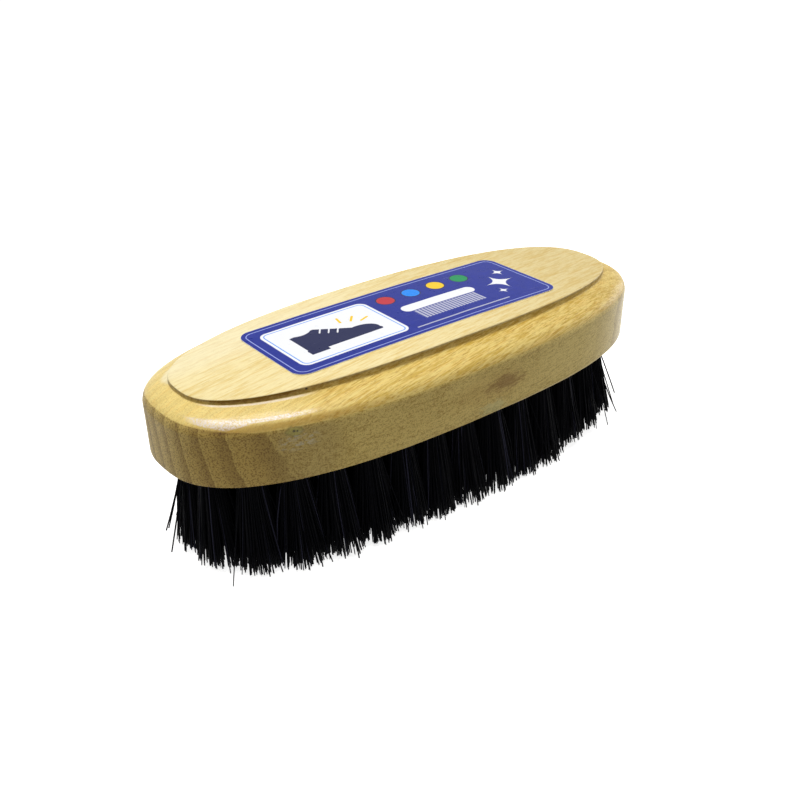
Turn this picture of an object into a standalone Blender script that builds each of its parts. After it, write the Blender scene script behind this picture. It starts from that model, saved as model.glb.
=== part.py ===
"""A shoe brush: an oval wooden block with a raised plateau and a label on top,
and black bristle tufts set in blind holes in its underside.

Metres, +Z up. The block's length runs along X. The origin lies below the block's
middle, on the plane that the cut bristle tips rest on.
"""

import math
import random

import bmesh
import bpy

MM = 0.001
sharp_edge_angle = math.radians(35)

# Block: an oval in plan, x and y raised to oval_exponent
block_length = 150.0 * MM
block_width = 60.6 * MM
oval_exponent = 2.6
oval_segments = 80

# Block: its section, from the underside up
side_height = 13.5 * MM
side_draft = 0.2 * MM
arris = 0.4 * MM
shoulder_rise = 4.5 * MM
shoulder_run_at_ends = 6.2 * MM
shoulder_run_at_sides = 7.6 * MM
shoulder_segments = 6
shoulder_run_handle_shares = (0.06, 0.22)
shoulder_rise_handle_shares = (0.50, 0.74)
step_height = 1.1 * MM
shoulder_crown_rise = 0.3 * MM
plateau_crown_rise = 1.5 * MM

# Tufts: where they stand, in two ovals and a middle row
bristle_length = 27.8 * MM
edge_to_outer_tufts = 9.4 * MM
inner_oval_length_share = 0.84
inner_oval_width_share = 0.52
middle_row_length_share = 0.66
outer_tuft_count = 30
inner_tuft_count = 18
middle_tuft_count = 9
oval_walk_steps = 720

# Tufts: their holes and the ends driven into them
hole_radius = 3.1 * MM
hole_depth = 10.5 * MM
hole_sides = 10
cutter_overrun = 1.0 * MM
tuft_clearance = 0.3 * MM
anchor_height = 1.2 * MM
anchor_thickness = 0.9 * MM
bend_height = 1.6 * MM

# Tufts: their strands
strands_per_tuft = 7
strand_gap = 0.5 * MM
tip_size_share = 0.85
tip_clearance = 0.4 * MM
outward_lean = 0.5 * MM
raggedness = 2.0 * MM
tip_cut_depth = 0.5 * MM
wide_spread_share = 0.8
narrow_spread_share = 0.5
spread_wander_share = 0.2
sector_wander_share = 0.18
strand_seed = 7

# Label
label_length = 86.0 * MM
label_width = 29.6 * MM
label_corner_radius = 3.7 * MM
label_corner_segments = 5
label_straight_segments = 8
label_thickness = 0.2 * MM
label_gap = 0.3 * MM
label_shift_x = -1.7 * MM
label_shift_y = -0.45 * MM

# Levels above the bristle tips
underside_level = bristle_length
shoulder_level = underside_level + side_height
ledge_level = shoulder_level + shoulder_rise
plateau_level = ledge_level + step_height

# Half sizes of the block's ovals
half_length = block_length / 2
half_width = block_width / 2
plateau_half_length = half_length - shoulder_run_at_ends
plateau_half_width = half_width - shoulder_run_at_sides

# Ends of the tufts
plug_radius = hole_radius - tuft_clearance
plug_length = hole_depth - tuft_clearance - anchor_height - bend_height


def clear_scene():
    """Remove every object of the open scene."""
    for old in list(bpy.data.objects):
        bpy.data.objects.remove(old, do_unlink=True)


def principled(name, color, roughness, metallic=0.0):
    """A material with one Principled shader."""
    material = bpy.data.materials.new(name)
    material.use_nodes = True
    shader = material.node_tree.nodes["Principled BSDF"]
    shader.inputs["Base Color"].default_value = (*color, 1.0)
    shader.inputs["Roughness"].default_value = roughness
    shader.inputs["Metallic"].default_value = metallic
    material.diffuse_color = (*color, 1.0)
    return material


def wood_material():
    return principled("pale varnished wood", (0.70, 0.52, 0.24), 0.42)


def bristle_material():
    return principled("black bristle", (0.012, 0.012, 0.016), 0.45)


def label_material():
    return principled("blue printed label", (0.055, 0.065, 0.36), 0.35)


def add_object(name, bm, material):
    """Make the bmesh an object at the origin, smooth but for its sharp edges."""
    bmesh.ops.recalc_face_normals(bm, faces=bm.faces)
    mesh = bpy.data.meshes.new(name)
    bm.to_mesh(mesh)
    bm.free()
    mesh.shade_smooth()
    mesh.set_sharp_from_angle(angle=sharp_edge_angle)
    mesh.materials.append(material)
    made = bpy.data.objects.new(name, mesh)
    bpy.context.scene.collection.objects.link(made)
    return made


def oval_point(along, across, angle):
    """The point of the oval with half sizes along and across, at a parameter angle."""
    cosine = math.cos(angle)
    sine = math.sin(angle)
    power = 2.0 / oval_exponent
    x = math.copysign(along * abs(cosine) ** power, cosine)
    y = math.copysign(across * abs(sine) ** power, sine)
    return x, y


def curve_share(handle_shares, t):
    """A smooth curve from 0 to 1, pulled by two handles, at t."""
    first, second = handle_shares
    return 3 * (1 - t) ** 2 * t * first + 3 * (1 - t) * t ** 2 * second + t ** 3


def arch_share(x):
    """How much of its crown's rise a level of the block has at x: all in the middle, none at the ends."""
    return 1.0 - (x / half_length) ** 2


def block_sections():
    """The block's ovals from the underside up: half sizes, level at the ends, and crown."""
    foot_length = half_length - side_draft
    foot_width = half_width - side_draft
    sections = [
        (foot_length - arris, foot_width - arris, underside_level, 0.0),
        (foot_length, foot_width, underside_level + arris, 0.0),
    ]
    for i in range(shoulder_segments + 1):
        inset_share = curve_share(shoulder_run_handle_shares, i / shoulder_segments)
        rise_share = curve_share(shoulder_rise_handle_shares, i / shoulder_segments)
        sections.append((
            half_length - shoulder_run_at_ends * inset_share,
            half_width - shoulder_run_at_sides * inset_share,
            shoulder_level + shoulder_rise * rise_share,
            shoulder_crown_rise * rise_share,
        ))
    sections.append((plateau_half_length, plateau_half_width, plateau_level - arris, plateau_crown_rise))
    sections.append((plateau_half_length - arris, plateau_half_width - arris, plateau_level, plateau_crown_rise))
    return sections


def oval_ring(section):
    """The corner points of one of the block's ovals."""
    along, across, level, crown = section
    ring = []
    for i in range(oval_segments):
        x, y = oval_point(along, across, math.tau * i / oval_segments)
        ring.append((x, y, level + arch_share(x) * crown))
    return ring


def close_with_strips(bm, loop):
    """Close a loop that is symmetric about X with strips across it, so that they follow the crown."""
    count = len(loop)
    half = count // 2
    bm.faces.new((loop[0], loop[1], loop[count - 1]))
    for i in range(1, half - 1):
        bm.faces.new((loop[i], loop[i + 1], loop[count - i - 1], loop[count - i]))
    bm.faces.new((loop[half - 1], loop[half], loop[half + 1]))


def build_block(material):
    """The wooden block, without its holes."""
    bm = bmesh.new()
    loops = []
    for section in block_sections():
        loops.append([bm.verts.new(point) for point in oval_ring(section)])
    for lower, upper in zip(loops, loops[1:]):
        for i in range(oval_segments):
            following = (i + 1) % oval_segments
            bm.faces.new((lower[i], lower[following], upper[following], upper[i]))
    bm.faces.new(loops[0])
    close_with_strips(bm, loops[-1])
    return add_object("wood_block", bm, material)


def oval_walk(along, across, count):
    """Points evenly spaced along an oval from half a pitch past its +X end, with their outward directions."""
    fine = [oval_point(along, across, math.tau * i / oval_walk_steps) for i in range(oval_walk_steps + 1)]
    walked = [0.0]
    for here, there in zip(fine, fine[1:]):
        walked.append(walked[-1] + math.dist(here, there))
    places = []
    step = 0
    for i in range(count):
        wanted = walked[-1] * (i + 0.5) / count
        while walked[step + 1] < wanted:
            step += 1
        (x0, y0), (x1, y1) = fine[step], fine[step + 1]
        share = (wanted - walked[step]) / (walked[step + 1] - walked[step])
        run = math.dist(fine[step], fine[step + 1])
        outward = ((y1 - y0) / run, (x0 - x1) / run)
        places.append(((x0 + (x1 - x0) * share, y0 + (y1 - y0) * share), outward))
    return places


def tuft_places():
    """Each tuft's name, its place, and the way and amount its fan leans outward."""
    outer_length = half_length - edge_to_outer_tufts
    outer_width = half_width - edge_to_outer_tufts
    inner_length = outer_length * inner_oval_length_share
    inner_width = outer_width * inner_oval_width_share
    middle_length = outer_length * middle_row_length_share
    tufts = []
    for i, (place, outward) in enumerate(oval_walk(outer_length, outer_width, outer_tuft_count)):
        lean = (outward[0] * outward_lean, outward[1] * outward_lean)
        tufts.append((f"tuft_outer_{i + 1:02d}", place, lean))
    for i, (place, outward) in enumerate(oval_walk(inner_length, inner_width, inner_tuft_count)):
        tufts.append((f"tuft_inner_{i + 1:02d}", place, (0.0, 0.0)))
    for i in range(middle_tuft_count):
        x = middle_length * (2 * i / (middle_tuft_count - 1) - 1)
        tufts.append((f"tuft_middle_{i + 1:02d}", (x, 0.0), (0.0, 0.0)))
    return tufts


def smallest_pitch(tufts):
    """The least distance between two tufts' places."""
    places = [place for name, place, lean in tufts]
    return min(math.dist(a, b) for i, a in enumerate(places) for b in places[:i])


def drill_holes(block, tufts):
    """Cut a blind hole for each tuft into the block's underside."""
    wall_radius = hole_radius / math.cos(math.pi / hole_sides)
    bm = bmesh.new()
    for name, (x, y), lean in tufts:
        drill = bmesh.ops.create_cone(
            bm, cap_ends=True, segments=hole_sides, radius1=wall_radius, radius2=wall_radius,
            depth=hole_depth + cutter_overrun)
        middle = underside_level + (hole_depth - cutter_overrun) / 2
        bmesh.ops.translate(bm, verts=drill["verts"], vec=(x, y, middle))
    cutter = add_object("tuft_hole_cutter", bm, block.data.materials[0])
    cutter.hide_render = True
    cutter.display_type = "WIRE"
    drilling = block.modifiers.new("tuft holes", "BOOLEAN")
    drilling.operation = "DIFFERENCE"
    drilling.solver = "EXACT"
    drilling.object = cutter


def extrude_cap(bm, cap, rise, stretch):
    """Extrude a face upward and scale the new one about its middle."""
    made = bmesh.ops.extrude_discrete_faces(bm, faces=[cap])["faces"][0]
    middle = made.calc_center_median()
    for vert in made.verts:
        vert.co.x = middle.x + (vert.co.x - middle.x) * stretch[0]
        vert.co.y = middle.y + (vert.co.y - middle.y) * stretch[1]
        vert.co.z += rise
    return made


def strand_tip(root, spread_share, fan_reach, lean, chance):
    """Where a strand that starts at root ends, for a tuft whose middle is the origin."""
    sector = math.tau / strands_per_tuft
    turn = math.atan2(root.y, root.x) + sector * sector_wander_share * chance.uniform(-1.0, 1.0)
    reach = fan_reach * (spread_share + spread_wander_share * chance.random())
    grown_to = chance.uniform(-tip_cut_depth, raggedness)
    return reach * math.cos(turn) + lean[0], reach * math.sin(turn) + lean[1], max(grown_to, 0.0)


def build_tuft(name, place, lean, fan_reach, material, chance):
    """A tuft: its doubled end with the steel anchor across the bend, and its strands fanning downward."""
    bm = bmesh.new()
    bmesh.ops.create_cone(
        bm, cap_ends=True, segments=strands_per_tuft,
        radius1=plug_radius, radius2=plug_radius, depth=plug_length)
    bmesh.ops.translate(bm, verts=bm.verts, vec=(0.0, 0.0, underside_level + plug_length / 2))
    bottom = min(bm.faces, key=lambda face: face.calc_center_median().z)
    top = max(bm.faces, key=lambda face: face.calc_center_median().z)
    bend = extrude_cap(bm, top, bend_height, (1.0, anchor_thickness / (2 * plug_radius)))
    extrude_cap(bm, bend, anchor_height, (1.0, 1.0))
    roots = bmesh.ops.poke(bm, faces=[bottom])["faces"]
    bmesh.ops.inset_individual(bm, faces=roots, thickness=strand_gap / 2)
    for i, root in enumerate(roots):
        spread_share = narrow_spread_share if i % 2 else wide_spread_share
        middle = root.calc_center_median()
        tip = bmesh.ops.extrude_discrete_faces(bm, faces=[root])["faces"][0]
        x, y, level = strand_tip(middle, spread_share, fan_reach, lean, chance)
        for vert in tip.verts:
            vert.co.x = x + (vert.co.x - middle.x) * tip_size_share
            vert.co.y = y + (vert.co.y - middle.y) * tip_size_share
            vert.co.z = level
    bmesh.ops.translate(bm, verts=bm.verts, vec=(place[0], place[1], 0.0))
    return add_object(name, bm, material)


def build_tufts(tufts, material):
    """All the tufts, none of whose strands reaches a neighbour's."""
    chance = random.Random(strand_seed)
    tip_radius = plug_radius * tip_size_share / 2
    fan_reach = (smallest_pitch(tufts) - tip_clearance) / 2 - tip_radius
    for name, place, lean in tufts:
        build_tuft(name, place, lean, fan_reach, material, chance)


def label_stations():
    """Places along the label with its half width there, following its round corners."""
    straight = label_length / 2 - label_corner_radius
    stations = []
    for i in range(label_corner_segments + 1):
        turn = math.pi / 2 * i / label_corner_segments
        x = straight + label_corner_radius * math.cos(turn)
        stations.append((x, label_width / 2 - label_corner_radius * (1.0 - math.sin(turn))))
    for i in range(1, label_straight_segments):
        stations.append((straight * (1.0 - 2.0 * i / label_straight_segments), label_width / 2))
    for x, reach in reversed(stations[:label_corner_segments + 1]):
        stations.append((-x, reach))
    return stations


def build_label(material):
    """The label: a thin sheet that follows the crown a little above the plateau."""
    bm = bmesh.new()
    rings = []
    for x, reach in label_stations():
        place_x = x + label_shift_x
        low = plateau_level + plateau_crown_rise * arch_share(place_x) + label_gap
        high = low + label_thickness
        near = label_shift_y - reach
        far = label_shift_y + reach
        corners = ((near, low), (far, low), (far, high), (near, high))
        rings.append([bm.verts.new((place_x, y, z)) for y, z in corners])
    for here, there in zip(rings, rings[1:]):
        for i in range(4):
            following = (i + 1) % 4
            bm.faces.new((here[i], here[following], there[following], there[i]))
    bm.faces.new(rings[0])
    bm.faces.new(rings[-1])
    return add_object("label", bm, material)


def main():
    clear_scene()
    tufts = tuft_places()
    block = build_block(wood_material())
    drill_holes(block, tufts)
    build_tufts(tufts, bristle_material())
    build_label(label_material())


main()
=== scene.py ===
"""The looks of a shoe brush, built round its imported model.

An oval wooden block with a routed shoulder and a raised plateau, a printed label,
bristle tufts set in drilled holes, and the studio it is shown in. Metres, +Z up.
"""

import math

import bmesh
import bpy
import numpy as np
from mathutils import Matrix, Vector


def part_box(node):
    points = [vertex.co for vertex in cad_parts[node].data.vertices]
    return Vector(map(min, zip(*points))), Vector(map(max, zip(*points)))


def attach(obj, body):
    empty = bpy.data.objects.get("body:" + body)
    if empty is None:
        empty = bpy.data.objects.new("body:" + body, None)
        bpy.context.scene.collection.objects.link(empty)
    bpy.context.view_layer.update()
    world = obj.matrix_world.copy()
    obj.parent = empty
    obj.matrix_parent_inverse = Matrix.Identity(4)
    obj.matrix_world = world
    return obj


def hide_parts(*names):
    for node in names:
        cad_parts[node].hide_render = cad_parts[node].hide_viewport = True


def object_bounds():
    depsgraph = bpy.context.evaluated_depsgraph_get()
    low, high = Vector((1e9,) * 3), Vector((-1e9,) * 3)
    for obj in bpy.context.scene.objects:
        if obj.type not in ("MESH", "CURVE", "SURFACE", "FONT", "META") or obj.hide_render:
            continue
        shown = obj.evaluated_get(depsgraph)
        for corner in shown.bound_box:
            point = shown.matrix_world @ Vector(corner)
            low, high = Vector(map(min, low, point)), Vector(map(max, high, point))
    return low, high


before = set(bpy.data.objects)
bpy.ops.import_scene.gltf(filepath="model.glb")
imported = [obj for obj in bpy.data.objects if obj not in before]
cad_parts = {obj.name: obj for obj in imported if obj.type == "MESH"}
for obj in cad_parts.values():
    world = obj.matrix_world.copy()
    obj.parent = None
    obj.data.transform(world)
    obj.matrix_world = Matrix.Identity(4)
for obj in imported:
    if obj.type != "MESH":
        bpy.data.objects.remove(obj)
cad_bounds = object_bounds()
block_low, block_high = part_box("wood_block")
label_low, label_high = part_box("label")

bl_info = {
    "name": "Shoe brush",
    "version": (1, 0, 0),
    "blender": (4, 5, 0),
    "location": "View3D > Sidebar > Shoe brush",
    "description": "Makes a wooden shoe brush with a label and bristle tufts, and a studio for it",
    "category": "Add Mesh",
}

MM = 0.001
GOLDEN_TURN = math.pi * (3.0 - math.sqrt(5.0))
underside = block_low.z
half_length = (block_high.x - block_low.x) / 2
half_width = (block_high.y - block_low.y) / 2
label_middle = (label_low + label_high) / 2
label_length = label_high.x - label_low.x
label_width = label_high.y - label_low.y

# The sockets of a Mix node where it mixes colours
MIX_SHARE, MIX_FIRST, MIX_SECOND, MIX_RESULT = 0, 6, 7, 2

# The rows of tufts, and the number that the random draws of each row start from
ROW_SEEDS = {"outer": 100, "inner": 300, "middle": 500}

# How far round its quarter circle each point of a small arc in the block's section is
QUARTER_STEPS = (0.0, 0.25, 0.5, 0.75, 1.0)

# How sharp an edge still shades smooth, how far down a face of the underside looks, and the drill's sides
SMOOTH_ANGLE = math.radians(40)
FACING_DOWN = -0.97
DRILL_SIDES = 28
NEARLY_NOTHING = 0.01 * MM

# The strand that every bristle is copied from: its sides, and how far along and how thick each ring is
STRAND_SIDES = 4
STRAND_SHARES = (0.0, 0.0, 0.28, 0.55, 0.8, 1.0)
STRAND_TAPER = (1.0, 1.0, 1.0, 0.98, 0.95, 0.88)

# Bristles that stand clear of their tufts: a place near the tuft each one grows from, and its tip
STRAY_TIPS = (
    ((-64.0, 8.0), (-72.8, 8.3, 4.4)),
    ((-64.0, 8.0), (-71.9, 8.6, 4.6)),
    ((-65.0, 1.0), (-75.4, 0.5, 3.4)),
    ((62.0, -10.0), (69.2, -16.0, 5.7)),
    ((60.0, -14.0), (63.7, -21.8, 3.4)),
    ((62.0, -10.0), (66.0, -18.4, 3.9)),
)

# How far from its tuft's middle such a bristle grows, how much it is bowed, and its radius, in millimetres
STRAY_ROOT = 1.8
STRAY_BOW = 0.4
STRAY_RADIUS = 0.22

# How the bristles of a tuft scatter, in millimetres
ROOT_SCATTER = 0.08
TUFT_SCATTER = 0.25
TIP_SCATTER = 0.5
WILD_SCATTER = 2.0
WILD_LIMIT = 3.6
BOW = 0.22

# The shares of bristles that go their own way, are short or are long, and how the rest gather and fan out
WILD_SHARE = 0.06
SHORT_SHARE = 0.08
LONG_SHARE = 0.08
CLUMPS = 22
CLUMPING = 0.36
FAN_POWER = 1.12

# How far the tips keep inside the block's two ends, and where and over what length they are worn short
LEFT_ROOM = 2.5
RIGHT_ROOM = 8.0
WORN_START = 20.0
WORN_LENGTH = 40.0

# An anchor: its length for a hole of radius 1, and its other sizes and level in millimetres
ANCHOR_REACH = 1.76
ANCHOR_WIDTH = 0.9
ANCHOR_HEIGHT = 1.6
ANCHOR_BEVEL = 0.15
ANCHOR_RISE = 1.0
ANCHOR_TURN = math.radians(7.0)

# The wood's year rings and the slope of its grain, in millimetres and radians
RING_SPACING = 4.6
RING_LEAN = 0.16
GRAIN_CLIMB = math.radians(-6.0)
GRAIN_TURN = math.radians(8.0)

# How far the shoulder's colour begins above its lower edge, in millimetres
COLOR_EDGE = 0.72

# Colours laid over the wood's grain, and tints that it is multiplied by
# Painted reflection: the far left of the plateau paler, as the white backdrop shows in the varnish
PAINTED_FAR_REFLECTION = (0.90, 0.84, 0.60)
# Partly painted light: the left shoulder lighter, and more golden in tone
LEFT_GOLD_AND_LIGHT = (0.94, 0.74, 0.26)
# Painted light: the side lighter and more golden toward the right end, where the fill lamp lights it
RIGHT_PAINTED_LIGHT = (0.80, 0.66, 0.28)
# Painted shade: the right half darker and browner, as the overhead lamp's light falls off
RIGHT_SHADE_TINT = (0.80, 0.77, 0.71)
# Painted shade: a patch of the side at the near left darkened
SIDE_SHADE_TINT = (0.83, 0.82, 0.86)
SOAKED_TINT = (0.74, 0.67, 0.55)
LATE_WOOD_TINT = (0.56, 0.50, 0.40)
PORE_TINT = (0.66, 0.56, 0.40)
WARM_TINT = (1.0, 0.88, 0.68)
SPECK_TINT = (0.60, 0.54, 0.44)
# Painted shade with a warmer tone, low on the shoulder
LOW_SHOULDER_SHADE_TINT = (0.70, 0.61, 0.44)
WORN_RIM = (0.90, 0.76, 0.44)
KNOT = (0.38, 0.35, 0.09)
KNOT_RING = (0.20, 0.15, 0.04)
KNOT_SPECK = (0.04, 0.035, 0.02)
SMEAR_TINT = (0.80, 0.70, 0.58)
STAIN_TINT = (0.52, 0.42, 0.34)
FLECK = (0.50, 0.54, 0.28)
SCUFF = (0.60, 0.57, 0.44)
# Painted highlight on the near left shoulder
PAINTED_HIGHLIGHT = (0.90, 0.81, 0.78)
# Painted highlight line under the step
LIT_LINE = (0.96, 0.86, 0.76)
GOUGE = (0.02, 0.012, 0.005)

# How the label lies: the gap under it, the squares it bends in, where its corners lift and by how much
PRESS_GAP = 0.02
SQUARE = 1.2
LIFT_START = 1.62
CORNER_LIFT = 0.9

# Blisters under the label: the middle, size and height of each, in millimetres
BLISTERS = (
    ((-31.0, 7.5), 3.0, 0.05),
    ((12.0, -9.0), 4.0, 0.05),
    ((30.0, 8.0), 3.5, 0.04),
    ((-14.0, -2.0), 5.0, 0.04),
)

# The label's printing, in millimetres from its middle: rays over the shoe, dots by their ink, and stars
RAYS = (
    (-15.5, 3.0, -13.6, 5.2),
    (-13.2, 1.6, -10.6, 2.6),
    (-18.2, 3.9, -17.6, 6.5),
)
DOTS = {"red": -0.5, "sky": 8.2, "yellow": 16.9, "green": 25.6}
DOT_LEVEL = 7.8
DOT_RADIUS = 2.5
STARS = ((33.0, -1.2, 5.2), (37.6, 4.6, 2.4), (29.6, -6.6, 1.9))
DEEP_GROUND = (0.020, 0.034, 0.30)
RIM_LINE = (0.34, 0.40, 0.80)
SHOE_INK = (0.012, 0.016, 0.07)
DOT_RIM = (0.02, 0.02, 0.06)
RUBBED_INK = (0.55, 0.58, 0.75)

# The lamps, in metres: where each one stands, what it points at, its size and the setting of its power
LAMPS = {
    "top lamp": ((-0.06, 0.0, 0.75), (0.0, 0.0, 0.03), 0.42, "top_power"),
    "fill lamp": ((0.85, -0.02, 0.14), (0.0, 0.0, 0.02), 0.45, "fill_power"),
}

# What the middle of the picture looks at: a level above the underside, and steps from it across the view
AIM_LEVEL = 10.0
AIM_RIGHT = -2.647
AIM_UP = -15.292


def count_setting(name, description, default, least):
    """A whole number that a user can change."""
    return bpy.props.IntProperty(name=name, description=description, default=default, min=least)


def number_setting(name, description, default, least=0.0):
    """A plain number that a user can change."""
    return bpy.props.FloatProperty(name=name, description=description, default=default, min=least)


def length_setting(name, description, default):
    """A length that a user can change, given in millimetres."""
    return bpy.props.FloatProperty(name=name, description=description, default=default * MM, unit="LENGTH")


def angle_setting(name, description, default):
    """An angle that a user can change, given in degrees."""
    default = math.radians(default)
    return bpy.props.FloatProperty(name=name, description=description, default=default, subtype="ANGLE")


def color_setting(name, description, default):
    """A colour that a user can change."""
    return bpy.props.FloatVectorProperty(
        name=name, description=description, default=default, size=3, subtype="COLOR")


class BlockSettings(bpy.types.PropertyGroup):
    """The wooden block's sizes."""

    segments: count_setting("Segments", "Corners round the block's oval", 256, 32)
    oval_exponent: number_setting("Oval exponent", "2 is an ellipse, more is squarer", 2.6, 2.0)
    side_height: length_setting("Side height", "Height of the upright side", 13.5)
    side_draft: length_setting("Side draft", "How far the side leans in at its foot", 0.2)
    foot_round: length_setting("Foot round", "Radius round the underside", 0.5)
    shoulder_rise: length_setting("Shoulder rise", "Height of the rounded shoulder", 4.5)
    run_handles: bpy.props.FloatVectorProperty(
        name="Run handles", description="Two handles that pull the shoulder's section inward", size=2,
        default=(0.06, 0.22))
    rise_handles: bpy.props.FloatVectorProperty(
        name="Rise handles", description="Two handles that pull the shoulder's section upward", size=2,
        default=(0.50, 0.74))
    end_run: length_setting("Shoulder at ends", "Width of the shoulder at the ends", 6.2)
    side_run: length_setting("Shoulder at sides", "Width of the shoulder at the sides", 7.6)
    step_height: length_setting("Step height", "Height of the plateau's step at the ends", 1.1)
    step_round: length_setting("Step round", "Radius along the step's edge", 0.3)
    cove: length_setting("Cove", "Radius at the foot of the step", 0.2)
    crown: length_setting("Crown", "How far the plateau is arched along its length", 1.5)
    shoulder_crown: length_setting("Shoulder crown", "How far the shoulder is arched along its length", 0.3)
    unevenness: length_setting("Unevenness", "How far hand sanding leaves the surface off", 0.22)
    hole_radius: length_setting("Hole radius", "Radius of a tuft's hole", 3.1)
    hole_depth: length_setting("Hole depth", "Depth of a tuft's hole", 10.5)


class WoodColors(bpy.types.PropertyGroup):
    """The colours of the varnished wood."""

    top_pale: color_setting("Plateau, pale", "Pale grain of the plateau", (0.86, 0.73, 0.38))
    top_deep: color_setting("Plateau, deep", "Darker grain of the plateau", (0.74, 0.56, 0.20))
    routed_pale: color_setting("Shoulder, pale", "Pale grain of the shoulder", (0.80, 0.62, 0.20))
    routed_deep: color_setting("Shoulder, deep", "Darker grain of the shoulder", (0.60, 0.40, 0.065))
    # The side's colours are darker and more olive than the plateau's: partly the wood's own tone, partly
    # painted shade
    side_pale: color_setting("Side, pale", "Pale grain of the upright side", (0.66, 0.50, 0.15))
    side_deep: color_setting("Side, deep", "Darker grain of the upright side", (0.46, 0.32, 0.075))
    # The step wall's dark colour: partly router burn, partly painted shade in the step
    burnt_and_shaded: color_setting("Burnt step", "Where the router left the step's wall dark", (0.160, 0.080, 0.003))


class BristleSettings(bpy.types.PropertyGroup):
    """How the tufts are filled."""

    per_outer_tuft: count_setting("Bristles per outer tuft", "Bristles in each outer hole", 350, 30)
    per_inner_tuft: count_setting("Bristles per inner tuft", "Bristles in each other hole", 220, 30)
    thinnest: length_setting("Thinnest", "Radius of the thinnest bristles", 0.14)
    thickest: length_setting("Thickest", "Radius of the thickest bristles", 0.21)
    bunch_radius: length_setting("Bunch radius", "Radius of a tuft where it leaves its hole", 2.75)
    in_hole: length_setting("Length in hole", "How far the bristles reach into their hole", 7.5)
    spread: number_setting("Spread", "How much wider a tuft is at its tips", 2.5, 1.0)
    outward_lean: length_setting("Outward lean", "How far the outer tufts lean outward at their tips", 0.4)
    sweep: bpy.props.FloatVectorProperty(
        name="Sweep", description="How far use has combed all the tips one way", size=2,
        default=(0.95 * MM, -0.66 * MM), unit="LENGTH")
    raggedness: length_setting("Raggedness", "How far the tips differ in height", 0.5)
    worn_away: length_setting("Worn away", "How much shorter use has left the tips at the right end", 2.3)
    color: color_setting("Colour", "Colour of the bristles", (0.0005, 0.0005, 0.0012))
    # The lighter bristles are partly worn ones and partly painted sheen lines
    worn_and_sheen_color: color_setting("Lighter colour", "Colour of the few lighter bristles", (0.040, 0.040, 0.066))


class LabelSettings(bpy.types.PropertyGroup):
    """The label's sizes and printing colours."""

    corner: length_setting("Corner radius", "Radius of the label's corners", 3.7)
    thickness: length_setting("Thickness", "Thickness of the label's paper", 0.13)
    turn: angle_setting("Turn", "How far the label was stuck on askew", -0.26)
    ground: color_setting("Ground", "The label's blue", (0.008, 0.021, 0.245))
    paper: color_setting("Paper", "The label's white", (0.86, 0.87, 0.90))
    red: color_setting("Red", "Red ink", (0.50, 0.03, 0.045))
    sky: color_setting("Sky blue", "Light blue ink", (0.01, 0.24, 0.85))
    yellow: color_setting("Yellow", "Yellow ink", (0.90, 0.58, 0.02))
    green: color_setting("Green", "Green ink", (0.005, 0.27, 0.09))


class StageSettings(bpy.types.PropertyGroup):
    """The studio: camera and lamps."""

    azimuth: angle_setting("Azimuth", "Where the camera stands round the brush", -38.03)
    elevation: angle_setting("Elevation", "How far the camera looks down", 28.49)
    roll: angle_setting("Roll", "How far the camera is tipped", 0.76)
    distance: length_setting("Distance", "From the camera to the brush", 276.76)
    lens: number_setting("Lens", "Focal length in millimetres", 45.875)
    top_power: number_setting("Top lamp", "Power of the soft lamp overhead, in watts", 4.85)
    fill_power: number_setting("Fill lamp", "Power of the weak lamp at the right, in watts", 2.8)
    room_light: number_setting("Room light", "Strength of the light from all round", 0.22)


def adds_math(operation, reflected=False):
    """A method of Number that adds one Math node."""

    def method(self, other=0.0):
        if reflected:
            return self.maker.math(operation, other, self)
        return self.maker.math(operation, self, other)

    return method


class Number:
    """A number in a material: arithmetic on it adds Math nodes."""

    def __init__(self, maker, socket):
        self.maker = maker
        self.socket = socket

    __add__ = adds_math("ADD")
    __radd__ = adds_math("ADD", reflected=True)
    __sub__ = adds_math("SUBTRACT")
    __rsub__ = adds_math("SUBTRACT", reflected=True)
    __mul__ = adds_math("MULTIPLY")
    __rmul__ = adds_math("MULTIPLY", reflected=True)
    __truediv__ = adds_math("DIVIDE")
    __pow__ = adds_math("POWER")
    __abs__ = adds_math("ABSOLUTE")
    at_least = adds_math("MAXIMUM")
    at_most = adds_math("MINIMUM")
    fraction = adds_math("FRACT")

    def __neg__(self):
        return 0.0 - self

    def limited(self):
        """Kept from 0 to 1."""
        return self.at_least(0.0).at_most(1.0)

    def rising(self, start, end):
        """0 up to start, 1 from end on, smooth between."""
        inputs = {"Value": self, "From Min": start, "From Max": end}
        return self.maker.node("ShaderNodeMapRange", {"interpolation_type": "SMOOTHSTEP"}, inputs)

    def falling(self, start, end):
        """1 up to start, 0 from end on, smooth between."""
        return 1.0 - self.rising(start, end)

    def between(self, start, full, leaving, end):
        """1 from full to leaving, 0 before start and after end, smooth between."""
        return self.rising(start, full) * self.falling(leaving, end)


class NodeMaker:
    """An emptied node tree and the nodes that are added to it."""

    def __init__(self, tree, output_kind):
        tree.nodes.clear()
        self.tree = tree
        self.output = tree.nodes.new(output_kind)

    def node(self, kind, settings=None, inputs=None, output=0):
        """Add a node: its settings first, then its inputs' values or links. Gives the wanted output."""
        added = self.tree.nodes.new(kind)
        for setting, value in (settings or {}).items():
            setattr(added, setting, value)
        for socket, value in (inputs or {}).items():
            if isinstance(value, Number):
                self.tree.links.new(value.socket, added.inputs[socket])
            else:
                added.inputs[socket].default_value = value
        return Number(self, added.outputs[output])

    def math(self, operation, first, second=0.0):
        return self.node("ShaderNodeMath", {"operation": operation}, {0: first, 1: second})

    def show(self, shader):
        """End the tree with a shader."""
        self.tree.links.new(shader.socket, self.output.inputs["Surface"])


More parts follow.
